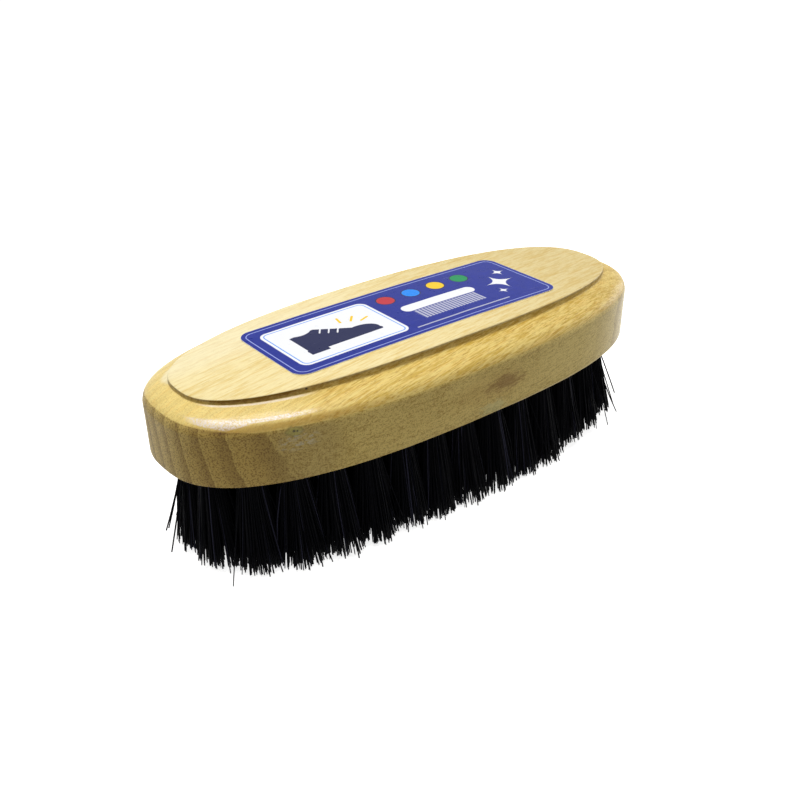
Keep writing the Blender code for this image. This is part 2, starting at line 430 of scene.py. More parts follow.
class MaterialMaker(NodeMaker):
    """A new material and the nodes that are added to it."""

    def __init__(self, name):
        self.material = bpy.data.materials.new(name)
        self.material.use_nodes = True
        super().__init__(self.material.node_tree, "ShaderNodeOutputMaterial")

    def mixed(self, share, first, second, blend="MIX"):
        """A colour between two, or the second where share is 1."""
        inputs = {MIX_SHARE: share, MIX_FIRST: opaque(first), MIX_SECOND: opaque(second)}
        return self.node("ShaderNodeMix", {"data_type": "RGBA", "blend_type": blend}, inputs, MIX_RESULT)

    def vector_math(self, operation, first, second, output=0):
        return self.node("ShaderNodeVectorMath", {"operation": operation}, {0: first, 1: second}, output)

    def split(self, vector):
        """The three numbers of a vector."""
        return [self.node("ShaderNodeSeparateXYZ", None, {0: vector}, output=axis) for axis in range(3)]

    def place(self):
        """Where the surface is on the object, in millimetres."""
        spot = self.node("ShaderNodeTexCoord", output="Object")
        return self.vector_math("MULTIPLY", spot, (1 / MM,) * 3)

    def mapped(self, place, location, rotation):
        """A place as it is seen from a moved and turned frame."""
        inputs = {"Vector": place, "Location": location, "Rotation": rotation}
        return self.node("ShaderNodeMapping", {"vector_type": "TEXTURE"}, inputs)

    def noise(self, place, sizes, detail=2.0, roughness=0.5):
        """Noise about 0, with a grain of the given sizes along X, Y and Z in millimetres."""
        scaled = self.vector_math("DIVIDE", place, sizes)
        inputs = {"Vector": scaled, "Scale": 1.0, "Detail": detail, "Roughness": roughness}
        return self.node("ShaderNodeTexNoise", {"noise_dimensions": "3D"}, inputs) - 0.5

    def patch(self, place, middle, sizes, wander=0.0):
        """1 in the middle of a patch of the given half sizes, falling to 0 at its rim."""
        scaled = self.vector_math("DIVIDE", self.vector_math("SUBTRACT", place, middle), sizes)
        reach = self.vector_math("LENGTH", scaled, (0.0,) * 3, output="Value")
        return (reach + wander).falling(0.45, 1.0)

    def bump(self, height, depth, strength=1.0):
        """A normal for relief of the given depth in metres."""
        return self.node("ShaderNodeBump", None, {"Height": height, "Distance": depth, "Strength": strength})

    def finish(self, inputs, shown_color):
        """Close the material with a Principled shader."""
        self.show(self.node("ShaderNodeBsdfPrincipled", None, inputs))
        self.material.diffuse_color = opaque(shown_color)
        return self.material


class Paint:
    """A surface's colour, changed step by step."""

    def __init__(self, maker, color):
        self.maker = maker
        self.color = color

    def cover(self, share, color):
        """Lay a colour over it, as far as share says."""
        self.color = self.maker.mixed(share, self.color, color)

    def darken(self, share, tint):
        """Multiply it by a tint, as far as share says."""
        self.color = self.maker.mixed(share.limited(), self.color, tint, "MULTIPLY")


def opaque(color):
    """A colour as four numbers, or a link as it is."""
    if isinstance(color, Number):
        return color
    return (*tuple(color)[:3], 1.0)


def deselect_all():
    """Leave nothing selected, out of edit mode."""
    if bpy.context.object is not None and bpy.context.object.mode != "OBJECT":
        bpy.ops.object.mode_set(mode="OBJECT")
    bpy.ops.object.select_all(action="DESELECT")


def pick(*objects):
    """Select these objects alone; the last one is active."""
    deselect_all()
    for wanted in objects:
        wanted.select_set(True)
    bpy.context.view_layer.objects.active = objects[-1]


def named(name):
    """The object just added, renamed with its mesh."""
    made = bpy.context.object
    made.name = name
    made.data.name = name
    return made


def new_object(name, data):
    """A new object of the scene."""
    made = bpy.data.objects.new(name, data)
    bpy.context.scene.collection.objects.link(made)
    return made


def edit_all():
    """Enter edit mode with everything selected."""
    bpy.ops.object.mode_set(mode="EDIT")
    bpy.ops.mesh.select_all(action="SELECT")


def leave_outward():
    """Turn all faces outward and leave edit mode."""
    bpy.ops.mesh.select_all(action="SELECT")
    bpy.ops.mesh.normals_make_consistent(inside=False)
    bpy.ops.object.mode_set(mode="OBJECT")


def select_edges(made, wanted):
    """In edit mode, select just the edges whose both ends pass a test on their place."""
    bm = bmesh.from_edit_mesh(made.data)
    for part in (*bm.verts, *bm.edges, *bm.faces):
        part.select = False
    for edge in bm.edges:
        if all(wanted(vert.co) for vert in edge.verts):
            edge.select = True
    bmesh.update_edit_mesh(made.data)


def modify(made, kind, **settings):
    """Give an object a modifier with these settings, and apply it."""
    modifier = made.modifiers.new(kind.lower(), kind)
    for setting, value in settings.items():
        setattr(modifier, setting, value)
    pick(made)
    bpy.ops.object.modifier_apply(modifier=modifier.name)


def settle(piece, material, slot, *nodes):
    """Give a finished piece its material and its place in the frame."""
    if not piece.data.materials:
        piece.data.materials.append(material)
    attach(piece, "root")
    if nodes:
        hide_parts(*nodes)


def tuft_nodes(row):
    """The names of a row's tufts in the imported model."""
    return sorted(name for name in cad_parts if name.startswith("tuft_" + row))


def tuft_place(node):
    """The middle of a tuft's hole: the middle of what its node has inside the block."""
    inside = {
        (round(vert.co.x, 6), round(vert.co.y, 6), round(vert.co.z, 6))
        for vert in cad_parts[node].data.vertices
        if vert.co.z > underside + MM
    }
    return np.array(sorted(inside)).mean(axis=0)[:2]


def joined_copies(model, nodes, turn=0.0):
    """Copy a shape to the tufts' places, each turned a little otherwise, and make the copies one object."""
    copies = []
    for i, node in enumerate(nodes):
        x, y = tuft_place(node)
        copy = model.copy()
        copy.data = model.data.copy()
        turned = Matrix.Rotation(turn * ((i * 5) % 7 - 3), 4, "Z")
        copy.data.transform(Matrix.Translation((x, y, 0.0)) @ turned)
        bpy.context.scene.collection.objects.link(copy)
        copies.append(copy)
    pick(*copies)
    bpy.ops.object.join()
    return bpy.context.object


def oval_point(along, across, exponent, angle):
    """The point of a superellipse of the given half sizes at a parameter angle."""
    cosine, sine = math.cos(angle), math.sin(angle)
    x = math.copysign(along * abs(cosine) ** (2 / exponent), cosine)
    y = math.copysign(across * abs(sine) ** (2 / exponent), sine)
    return x, y


def pulled_curve(handles, t):
    """A smooth curve from 0 to 1, pulled by two handles, at t."""
    return 3 * (1 - t) ** 2 * t * handles[0] + 3 * (1 - t) * t ** 2 * handles[1] + t ** 3


def quarter_arc(steps):
    """At some steps round a quarter circle of radius 1, how far it still has to go in and has risen."""
    angles = [step * math.pi / 2 for step in steps]
    return [(1.0 - math.sin(angle), 1.0 - math.cos(angle)) for angle in angles]


def block_sections(sizes):
    """The outline from foot to plateau: how far it is inset at the ends and the sides, and its level."""
    sections = []
    for back, up in quarter_arc(QUARTER_STEPS):
        inset = sizes.side_draft + sizes.foot_round * back
        sections.append((inset, inset, underside + sizes.foot_round * up))
    for share in (0.25, 0.5, 0.75, 0.98):
        inset = sizes.side_draft * (1.0 - share)
        level = underside + sizes.foot_round + (sizes.side_height - sizes.foot_round) * share
        sections.append((inset, inset, level))
    shoulder = underside + sizes.side_height
    rounds = 16
    for i in range(rounds + 1):
        inset = pulled_curve(sizes.run_handles, i / rounds)
        level = shoulder + sizes.shoulder_rise * pulled_curve(sizes.rise_handles, i / rounds)
        if i == rounds:
            inset -= sizes.cove / sizes.end_run
        sections.append((sizes.end_run * inset, sizes.side_run * inset, level))
    ledge = shoulder + sizes.shoulder_rise
    for back, up in quarter_arc((1 / 3, 2 / 3, 1.0)):
        inset = sizes.cove * back
        sections.append((sizes.end_run - inset, sizes.side_run - inset, ledge + sizes.cove * up))
    plateau = ledge + sizes.step_height
    for back, up in quarter_arc(QUARTER_STEPS):
        inset = sizes.step_round * up
        sections.append((sizes.end_run + inset, sizes.side_run + inset, plateau - sizes.step_round * back))
    return sections


def arch_top(made, sizes):
    """Raise the shoulder a little, and the plateau more, along their length."""
    shoulder = underside + sizes.side_height
    wall_foot = shoulder + sizes.shoulder_rise + sizes.cove
    wall_height = sizes.step_height - sizes.cove - sizes.step_round
    for vert in made.data.vertices:
        on_shoulder = min(max((vert.co.z - shoulder) / sizes.shoulder_rise, 0.0), 1.0)
        on_wall = min(max((vert.co.z - wall_foot) / wall_height, 0.0), 1.0)
        rise = on_shoulder * sizes.shoulder_crown + on_wall * (sizes.crown - sizes.shoulder_crown)
        vert.co.z += rise * (1.0 - (vert.co.x / half_length) ** 2)


def make_drill(sizes):
    """The cutter for all the holes: a round bit with a conical point, copied to each tuft's place."""
    deselect_all()
    bpy.ops.mesh.primitive_cylinder_add(
        vertices=DRILL_SIDES, radius=sizes.hole_radius, depth=sizes.hole_depth + MM, end_fill_type="TRIFAN",
        location=(0.0, 0.0, underside + (sizes.hole_depth - MM) / 2))
    bit = named("bit")
    bpy.ops.object.transform_apply()
    top = max(vert.co.z for vert in bit.data.vertices)
    for vert in bit.data.vertices:
        if vert.co.z > top - NEARLY_NOTHING and math.hypot(vert.co.x, vert.co.y) < NEARLY_NOTHING:
            vert.co.z += sizes.hole_radius * 0.5
    drill = joined_copies(bit, [node for row in ROW_SEEDS for node in tuft_nodes(row)])
    bpy.data.objects.remove(bit, do_unlink=True)
    return drill


class SHOEBRUSH_OT_block(bpy.types.Operator):
    """Make the wooden block with its holes"""

    bl_idname = "shoebrush.block"
    bl_label = "Wooden block"

    def execute(self, context):
        sizes = context.scene.brush_block
        block = self.loft(sizes, block_sections(sizes))
        arch_top(block, sizes)
        self.wear(block, sizes)
        self.drill(block, sizes)
        self.shade(block)
        settle(block, wood_material(context.scene.brush_wood, sizes), "wood", "wood_block")
        return {"FINISHED"}

    def loft(self, sizes, sections):
        """Extrude the oval from section to section, then close it."""
        deselect_all()
        bpy.ops.mesh.primitive_circle_add(vertices=sizes.segments, radius=1.0, fill_type="NOTHING")
        block = named("block")
        end_inset, side_inset, foot = sections[0]
        along, across, level = half_length - end_inset, half_width - side_inset, foot
        for i, vert in enumerate(block.data.vertices):
            vert.co = (*oval_point(along, across, sizes.oval_exponent, math.tau * i / sizes.segments), level)
        edit_all()
        for end_inset, side_inset, next_level in sections[1:]:
            up = (0.0, 0.0, next_level - level)
            bpy.ops.mesh.extrude_region_move(TRANSFORM_OT_translate={"value": up})
            next_along, next_across = half_length - end_inset, half_width - side_inset
            bpy.ops.transform.resize(
                value=(next_along / along, next_across / across, 1.0), center_override=(0.0, 0.0, 0.0))
            along, across, level = next_along, next_across, next_level
        bpy.ops.mesh.fill_grid(span=sizes.segments // 4, offset=sizes.segments // 8)
        select_edges(block, lambda co: co.z < foot + NEARLY_NOTHING)
        bpy.ops.mesh.edge_face_add()
        leave_outward()
        return block

    def wear(self, block, sizes):
        """Leave the surface slightly uneven, as sanding does."""
        for name, size, share in (("long waves", 26 * MM, 0.7), ("short waves", 7 * MM, 0.3)):
            clouds = bpy.data.textures.new(name, "CLOUDS")
            clouds.noise_scale = size
            clouds.noise_depth = 1
            strength = sizes.unevenness * share
            modify(block, "DISPLACE", texture=clouds, texture_coords="LOCAL", strength=strength)

    def drill(self, block, sizes):
        """Cut the tufts' holes."""
        cutter = make_drill(sizes)
        modify(block, "BOOLEAN", operation="DIFFERENCE", solver="EXACT", object=cutter)
        bpy.data.objects.remove(cutter, do_unlink=True)

    def shade(self, block):
        """Shade smooth, with the flat underside kept flat."""
        pick(block)
        bpy.ops.object.shade_smooth_by_angle(angle=SMOOTH_ANGLE)
        bm = bmesh.new()
        bm.from_mesh(block.data)
        for edge in bm.edges:
            for face in edge.link_faces:
                if face.normal.z < FACING_DOWN:
                    edge.smooth = False
        bm.to_mesh(block.data)
        bm.free()


def wood_material(colors, sizes):
    """Pale wood under clear varnish: year rings, grain, pores, a knot, small marks, and painted light and
    shade.
    """
    maker = MaterialMaker("varnished wood")
    place = maker.place()
    x, y, z = maker.split(place)
    half_x = half_length / MM
    half_y = half_width / MM
    foot = underside / MM
    shoulder = foot + sizes.side_height / MM
    arch = 1.0 - (x / half_x) ** 2.0
    ledge = arch * (sizes.shoulder_crown / MM) + (shoulder + sizes.shoulder_rise / MM)
    plateau = arch * (sizes.crown / MM) + (shoulder + (sizes.shoulder_rise + sizes.step_height) / MM)
    rise = (z - ledge) / (plateau - ledge)
    far_side = y.rising(0.0, 10.0)
    near_side = y.falling(-10.0, -6.0)

    # Where the surface cuts across the fibres: at the two ends of the block, not along its sides
    slope = sizes.oval_exponent - 1.0
    end_way = abs(x / half_x) ** slope / half_x
    side_way = abs(y / half_y) ** slope / half_y
    end_grain = end_way * end_way / (end_way * end_way + side_way * side_way + 1e-7)
    on_top = (z - plateau + far_side * 1.2).rising(-0.75, -0.4)
    toward_end = ((-61.0 - x) / 13.0).limited()
    above_edge = z - (toward_end * 1.4 + x.rising(0.0, 40.0) * 0.35 + (shoulder + COLOR_EDGE))
    on_shoulder = above_edge.rising(-0.22, 0.16)
    on_side = 1.0 - on_shoulder
    end_grain = end_grain.rising(0.03, 0.20) * (1.0 - on_top)

    # Year rings: nearly upright sheets along the block
    wander = maker.noise(place, (55.0, 16.0, 16.0))
    ripple = maker.noise(place, (12.0, 4.0, 4.0))
    away = ((x + half_x) / 60.0).limited()
    depth = y - (z - foot - 7.2) * RING_LEAN + wander * (1.0 + away * 9.0) + ripple * (0.4 + away * 1.2)
    phase = ((-0.68 - depth) / RING_SPACING).fraction()
    late = phase.between(0.25, 0.96, 0.96, 1.0)
    early = phase.rising(0.985, 1.0) + phase.falling(0.0, 0.1)

    # Grain along the block, climbing a little to the right: bands, streaks, fine fibres and pores
    tilted = maker.mapped(place, (0.0, 0.0, 0.0), (0.0, GRAIN_CLIMB, GRAIN_TURN))
    bands = maker.noise(tilted, (45.0, 3.2, 3.2))
    streaks = maker.noise(tilted, (8.0, 0.6, 0.6), 3.0, 0.65)
    long_streaks = maker.noise(tilted, (26.0, 0.9, 0.9))
    fibres = maker.noise(tilted, (5.0, 0.34, 0.34), 2.0, 0.6)
    pores = maker.noise(tilted, (2.2, 0.24, 0.24), 1.0).rising(0.04, 0.18)
    blotches = maker.noise(place, (14.0, 8.0, 8.0))
    specks = maker.noise(place, (0.36, 0.36, 0.36), 2.0, 0.6)
    mottle = maker.noise(place, (1.6, 0.9, 0.9), 3.0, 0.6)

    grain = streaks * 2.2 + bands * 0.6 + fibres * 1.7
    cut = specks * 2.8 + mottle * 0.8
    across_fibres = end_grain * (1.0 - on_shoulder * 0.75)
    on_end = grain * (1.0 - across_fibres) + cut * across_fibres
    top_share = (long_streaks * 1.6 + streaks * 1.1 + bands * 1.0 + fibres * 1.2) * 1.35 + 0.33
    routed_share = on_end * 1.9 + blotches * 0.6 + 0.40
    side_share = on_end * 1.7 + cut * 1.6 + blotches * 0.9 + 0.22
    paint = Paint(maker, maker.mixed(side_share.limited(), colors.side_pale, colors.side_deep))
    paint.cover(on_shoulder, maker.mixed(routed_share.limited(), colors.routed_pale, colors.routed_deep))
    paint.cover(on_top, maker.mixed(top_share.limited(), colors.top_pale, colors.top_deep))

    # Painted light and shade, each named below, and end grain that has soaked up the varnish
    # Painted reflection: the far left of the plateau paler, as the white backdrop shows in the varnish
    paint.cover(far_side * on_top * x.falling(-50.0, 20.0) * 0.45, PAINTED_FAR_REFLECTION)
    # Painted shade: the right half of the top and shoulder darker and browner, as the lamp's light falls off
    paint.darken(x.rising(-30.0, 60.0) * (on_shoulder * 0.6 + on_top * 0.4), RIGHT_SHADE_TINT)
    # Partly painted light: the left shoulder lighter, and more golden in tone
    paint.cover(x.falling(-66.0, -30.0) * on_shoulder * (1.0 - on_top) * 0.55, LEFT_GOLD_AND_LIGHT)
    # Painted light: the side lighter and more golden toward the right end, where the fill lamp lights it
    paint.cover(x.rising(-20.0, 72.0) * on_side * 0.6, RIGHT_PAINTED_LIGHT)
    # Painted shade: a patch of the side at the near left darkened
    paint.darken(maker.patch(place, (-50.0, -25.0, foot + 7.0), (12.0, 9.0, 14.0)) * on_side, SIDE_SHADE_TINT)
    soaked = end_grain * (1.0 - x.rising(-40.0, 20.0) * 0.75) * (1.0 - on_shoulder * 0.9)
    paint.darken(soaked * (1.0 - y.rising(-16.0, -4.0) * 0.6), SOAKED_TINT)
    ring_strength = (0.15 + end_grain * 0.85) * (0.78 - on_shoulder * 0.62) * (1.0 - on_top * 0.5)
    paint.darken(late * ring_strength, LATE_WOOD_TINT)
    paint.cover(early * ring_strength * 0.35, colors.side_pale)
    paint.darken(pores * (1.0 - end_grain) * (0.7 - on_top * 0.5), PORE_TINT)
    paint.darken(long_streaks.rising(-0.02, 0.16) * (on_shoulder * 0.45 - on_top * 0.2), WARM_TINT)
    open_grain = end_grain * (1.0 - on_shoulder * 0.65) + on_side * (1.0 - end_grain) * 0.45
    paint.darken(specks.rising(0.0, 0.12) * open_grain * 0.85, SPECK_TINT)
    # Painted shade with a warmer tone: a band low on the shoulder darkened, most at the left
    low_shoulder_shade = z.between(shoulder + 0.5, shoulder + 1.3, shoulder + 1.9, shoulder + 2.6)
    low_shoulder_shade = low_shoulder_shade * x.rising(-73.0, -66.0) * (1.0 - x.rising(-48.0, -20.0) * 0.85)
    paint.darken(low_shoulder_shade, LOW_SHOULDER_SHADE_TINT)
    paint.cover(z.falling(foot + 0.3, foot + 0.8) * x.rising(-10.0, 30.0) * 0.5, WORN_RIM)

    # The step's wall is darkened, most at the left and near its upper edge: partly router burn, partly
    # painted shade in the step and under the plateau's edge
    wall = rise.between(0.04, 0.16, 0.84, 0.95)
    darkest = x.between(-70.0, -62.0, -54.0, -38.0)
    burn_and_shade = 0.30 + darkest * 0.40 + rise * 0.45 - x.rising(-10.0, 30.0) * 0.22 + mottle * 0.7 + streaks * 0.5
    burn_and_shade = burn_and_shade * (1.0 - far_side * rise.rising(0.3, 0.6))
    paint.cover((wall * burn_and_shade).limited(), colors.burnt_and_shaded)

    # A knot, a brown stain, a pale fleck and scuffs on the near side
    def spot(along, across, up, half_sizes, wander=0.0):
        return maker.patch(place, (along, across, foot + up), half_sizes, wander)

    knot = spot(-53.0, -24.9, 13.2, (2.5, 2.5, 1.6), mottle * 0.8)
    paint.cover(knot * 0.65, KNOT)
    paint.cover(knot.between(0.05, 0.4, 0.5, 0.9) * 0.6, KNOT_RING)
    paint.cover(spot(-53.1, -24.9, 13.35, (0.52,) * 3, specks * 0.8) * 0.85, KNOT_SPECK)
    paint.cover(spot(-52.4, -25.1, 13.2, (0.38,) * 3, specks * 0.8) * 0.85, KNOT_SPECK)
    smear = spot(4.0, -30.3, 8.0, (16.0, 5.0, 5.5), streaks * 1.2 + blotches * 0.8)
    paint.darken(smear * 0.35, SMEAR_TINT)
    stain = spot(7.0, -30.3, 7.8, (7.5, 4.0, 2.7), streaks * 2.2 + mottle * 1.2)
    paint.darken(stain * 0.85, STAIN_TINT)
    paint.cover(spot(3.6, -30.3, 1.9, (6.0, 3.0, 2.2), mottle * 2.2) * 0.3, FLECK)
    scuffs = spot(-52.0, -24.8, 10.4, (6.5, 3.5, 3.0), blotches * 1.2)
    strokes = maker.noise(place, (1.5, 1.4, 0.7), 3.0).rising(-0.02, 0.12)
    paint.cover(scuffs * strokes * 0.4, SCUFF)

    # A painted highlight along the near left shoulder, speckled and narrow, and a thin painted highlight
    # line under the step
    broad = (1.0 - abs(x + 66.5) / 6.0).limited()
    painted_shine = (abs(z - (broad * -0.45 + (foot + 16.4))) / (broad * 0.6 + 0.34)).falling(0.6, 1.15)
    glints = (0.62 + specks * 3.4).limited()
    paint.cover(painted_shine * x.between(-72.5, -70.0, -54.0, -44.0) * near_side * glints * 0.85, PAINTED_HIGHLIGHT)
    lit_line = rise.between(-0.12, -0.04, 0.0, 0.08) * near_side * x.between(-69.0, -66.0, -50.0, -42.0)
    paint.cover(lit_line * (mottle * 1.4 + 0.8).limited() * 0.75, LIT_LINE)
    paint.cover(spot(-45.7, -19.0, 19.4, (0.55, 0.9, 0.35)), GOUGE)

    relief = streaks * 0.9 + fibres * 0.7 + specks * 1.6 - pores * 0.4
    sheen = 0.30 + fibres * 0.2 + late * 0.04 + on_top * 0.09
    dull = on_side * 0.25 + x.rising(-20.0, 40.0) * 0.12
    right_end = x.rising(35.0, 70.0) * on_side * 0.4
    high_shoulder = z.rising(shoulder + 0.5, shoulder + 1.4) * (1.0 - on_top * 0.85) * (1.0 - wall)
    varnish = high_shoulder * (0.30 - x.rising(-30.0, 10.0) * 0.1) * (0.6 + specks * 3.0) + right_end
    return maker.finish(
        {
            "Base Color": paint.color,
            "Roughness": sheen + dull + wall * 0.3 + high_shoulder * 0.12,
            "Normal": maker.bump(relief, 0.05 * MM, 0.55),
            "Specular IOR Level": 0.30,
            "Coat Weight": varnish.limited(),
            "Coat Roughness": 0.11,
            "Coat IOR": 1.65,
        },
        colors.top_deep)


def make_strand():
    """Model one bristle by extruding a small polygon downward; gives its corners and faces."""
    deselect_all()
    bpy.ops.mesh.primitive_circle_add(vertices=STRAND_SIDES, radius=1.0, fill_type="NGON")
    strand = named("strand")
    edit_all()
    for _ in STRAND_SHARES[1:]:
        bpy.ops.mesh.extrude_region_move(TRANSFORM_OT_translate={"value": (0.0, 0.0, -1.0)})
    leave_outward()
    corners = np.array([vert.co for vert in strand.data.vertices])
    faces = [list(face.vertices) for face in strand.data.polygons]
    bpy.data.objects.remove(strand, do_unlink=True)
    return corners, faces


def outward_at(place):
    """The way outward from the block's middle line at a tuft."""
    way = np.array([(place[0] / half_length) ** 3 / half_length, (place[1] / half_width) ** 3 / half_width])
    length = math.hypot(*way)
    return way / length if length > 0.0 else way


def grow_tuft(place, lean, count, settings, chance):
    """The roots, tips, tip levels, bows and radii of a tuft's bristles, from its middle."""
    number = np.arange(count)
    reach = settings.bunch_radius * np.sqrt((number + 0.5) / count)
    roots = np.stack([reach * np.cos(GOLDEN_TURN * number), reach * np.sin(GOLDEN_TURN * number)], axis=1)
    roots += chance.normal(0.0, ROOT_SCATTER * MM, (count, 2))
    spread = settings.spread * chance.uniform(0.92, 1.08)
    tips = roots * spread + lean + chance.normal(0.0, TUFT_SCATTER * MM, 2)
    tips += chance.normal(0.0, TIP_SCATTER * MM, (count, 2))
    gathers = tips[chance.choice(count, CLUMPS, replace=False)]
    nearest = np.argmin(np.linalg.norm(tips[:, None] - gathers[None], axis=2), axis=1)
    tips += (gathers[nearest] - tips) * chance.uniform(0.0, CLUMPING, (count, 1))
    wild = chance.random(count) < WILD_SHARE
    astray = chance.normal(0.0, WILD_SCATTER * MM, (int(wild.sum()), 2))
    tips[wild] += np.clip(astray, -WILD_LIMIT * MM, WILD_LIMIT * MM)
    reach = place[0] + tips[:, 0]
    kept = np.clip(reach, block_low.x + LEFT_ROOM * MM, block_high.x - RIGHT_ROOM * MM)
    tips[:, 0] += (kept - reach) * 0.8
    levels = chance.uniform(0.3 * MM, 1.3 * MM) + np.abs(chance.normal(0.0, settings.raggedness, count))
    short_ones = chance.random(count) < SHORT_SHARE
    levels[short_ones] += np.abs(chance.normal(0.0, 2.0 * settings.raggedness, int(short_ones.sum())))
    long_ones = chance.random(count) < LONG_SHARE
    levels[long_ones] *= 0.1
    along = np.clip((place[0] + tips[:, 0] - WORN_START * MM) / (WORN_LENGTH * MM), 0.0, 1.0)
    levels += settings.worn_away * along * along * (3.0 - 2.0 * along)
    bows = chance.normal(0.0, BOW * MM, (count, 2))
    bows[wild] *= 3.0
    radii = chance.uniform(settings.thinnest, settings.thickest, count)
    return roots, tips, np.maximum(levels, 0.0), bows, radii


def add_strays(place, tips, tuft, chance):
    """Add to a tuft the bristles that stand clear of it, one for each tip."""
    roots, ends, levels, bows, radii = tuft
    for x, y, z in tips:
        end = np.array([[x * MM, y * MM]]) - place
        roots = np.concatenate([roots, end / np.linalg.norm(end) * STRAY_ROOT * MM])
        ends = np.concatenate([ends, end])
        levels = np.append(levels, z * MM)
        bows = np.concatenate([bows, chance.normal(0.0, STRAY_BOW * MM, (1, 2))])
        radii = np.append(radii, STRAY_RADIUS * MM)
    return roots, ends, levels, bows, radii


def bristle_mesh(name, place, tuft, settings, strand, chance):
    """One mesh of a tuft's bristles: the modelled strand, copied and bent to each one's path."""
    corners, faces = strand
    roots, tips, levels, bows, radii = tuft
    count = len(radii)
    ring = np.rint(-corners[:, 2]).astype(int)
    share = np.array(STRAND_SHARES)[ring]
    taper = np.array(STRAND_TAPER)[ring]
    fan = share ** FAN_POWER
    bend = 4.0 * share * (1.0 - share)
    middle = (
        place
        + roots[:, None] * (1.0 - fan)[None, :, None]
        + tips[:, None] * fan[None, :, None]
        + bows[:, None] * bend[None, :, None]
    )
    top = np.where(ring == 0, settings.in_hole, 0.0)
    heights = underside + top[None] + (levels[:, None] - underside) * share[None]
    turn = chance.uniform(0.0, math.tau, count)
    cosine, sine = np.cos(turn)[:, None], np.sin(turn)[:, None]
    thick = radii[:, None] * taper[None]
    points = np.empty((count, len(corners), 3))
    points[:, :, 0] = middle[:, :, 0] + thick * (cosine * corners[None, :, 0] - sine * corners[None, :, 1])
    points[:, :, 1] = middle[:, :, 1] + thick * (sine * corners[None, :, 0] + cosine * corners[None, :, 1])
    points[:, :, 2] = heights
    polygons = []
    for i in range(count):
        start = i * len(corners)
        polygons.extend([[start + corner for corner in face] for face in faces])
    mesh = bpy.data.meshes.new(name)
    mesh.from_pydata(points.reshape(-1, 3).tolist(), [], polygons)
    shade = mesh.attributes.new("shade", "FLOAT", "POINT")
    shade.data.foreach_set("value", np.repeat(chance.random(count), len(corners)).astype(np.float32))
    mesh.shade_smooth()
    mesh.update()
    return mesh


class SHOEBRUSH_OT_tufts(bpy.types.Operator):
    """Fill a row of holes with bristles"""

    bl_idname = "shoebrush.tufts"
    bl_label = "Tufts"

    row: bpy.props.EnumProperty(
        name="Row",
        description="Which row of holes to fill",
        items=[
            ("outer", "Outer row", "The row along the block's edge"),
            ("inner", "Inner row", "The row inside it"),
            ("middle", "Middle row", "The row along the middle"),
        ])

    def execute(self, context):
        settings = context.scene.brush_bristles
        material = bpy.data.materials.get("black bristle fibre") or bristle_material(settings)
        strand = make_strand()
        nodes = tuft_nodes(self.row)
        count = settings.per_outer_tuft if self.row == "outer" else settings.per_inner_tuft
        places = [tuft_place(node) for node in nodes]
        strays = self.strays(places)
        for i, (node, place) in enumerate(zip(nodes, places)):
            chance = np.random.default_rng(ROW_SEEDS[self.row] + i)
            tuft = grow_tuft(place, self.lean(place, settings), count, settings, chance)
            tuft = add_strays(place, strays[i], tuft, chance)
            mesh = bristle_mesh("bristles" + node[4:], place, tuft, settings, strand, chance)
            settle(new_object(mesh.name, mesh), material, "bristle", node)
        return {"FINISHED"}

    def strays(self, places):
        """For each tuft, the tips of the bristles that stand clear of it."""
        tips = [[] for place in places]
        if self.row == "outer":
            for spot, tip in STRAY_TIPS:
                away = [math.dist((spot[0] * MM, spot[1] * MM), place) for place in places]
                tips[away.index(min(away))].append(tip)
        return tips

    def lean(self, place, settings):
        """How far the tips stand off from under their hole."""
        lean = np.array(settings.sweep)
        if self.row == "outer":
            lean = lean + outward_at(place) * settings.outward_lean
        return lean


def bristle_material(settings):
    """Black fibre with a faint cold sheen, each bristle a little different; a few lighter bristles are worn
    ones and painted sheen lines.
    """
    maker = MaterialMaker("black bristle fibre")
    shade = maker.node("ShaderNodeAttribute", {"attribute_name": "shade"}, output="Fac")
    flecks = maker.noise(maker.place(), (0.3, 0.3, 3.0))
    # A few bristles lighter: partly wear, partly painted sheen lines
    worn_and_sheen = (shade.rising(0.90, 1.0) * 0.9 + flecks * 0.25).limited()
    return maker.finish(
        {
            "Base Color": maker.mixed(worn_and_sheen, settings.color, settings.worn_and_sheen_color),
            "Roughness": 0.42 + shade * 0.14 + flecks * 0.2,
            "Normal": maker.bump(flecks, 0.01 * MM, 0.4),
            "Specular IOR Level": 0.03,
        },
        settings.color)


class SHOEBRUSH_OT_anchors(bpy.types.Operator):
    """Put a steel anchor at the bottom of each hole, over the bristles' ends"""

    bl_idname = "shoebrush.anchors"
    bl_label = "Anchors"

    def execute(self, context):
        settings = context.scene.brush_bristles
        material = steel_material()
        deselect_all()
        level = underside + settings.in_hole + ANCHOR_RISE * MM
        bpy.ops.mesh.primitive_cube_add(size=1.0, location=(0.0, 0.0, level))
        strip = named("anchor")
        reach = context.scene.brush_block.hole_radius * ANCHOR_REACH
        strip.scale = (reach, ANCHOR_WIDTH * MM, ANCHOR_HEIGHT * MM)
        bpy.ops.object.transform_apply()
        modify(strip, "BEVEL", width=ANCHOR_BEVEL * MM, segments=2)
        for row in ROW_SEEDS:
            joined_copies(strip, tuft_nodes(row), ANCHOR_TURN)
            settle(named("anchors_" + row), material, "bristle")
        bpy.data.objects.remove(strip, do_unlink=True)
        return {"FINISHED"}


def steel_material():
    """Drawn steel with fine lengthwise scratches."""
    maker = MaterialMaker("anchor steel")
    place = maker.place()
    scratches = maker.noise(place, (2.5, 0.08, 0.08), 3.0)
    tarnish = maker.noise(place, (1.2, 1.2, 1.2), 3.0).rising(-0.05, 0.25)
    return maker.finish(
        {
            "Base Color": maker.mixed(tarnish * 0.6, (0.55, 0.55, 0.56), (0.30, 0.26, 0.22)),
            "Metallic": 1.0,
            "Roughness": 0.28 + scratches * 0.3,
            "Normal": maker.bump(scratches, 0.01 * MM, 0.5),
        },
        (0.5, 0.5, 0.5))


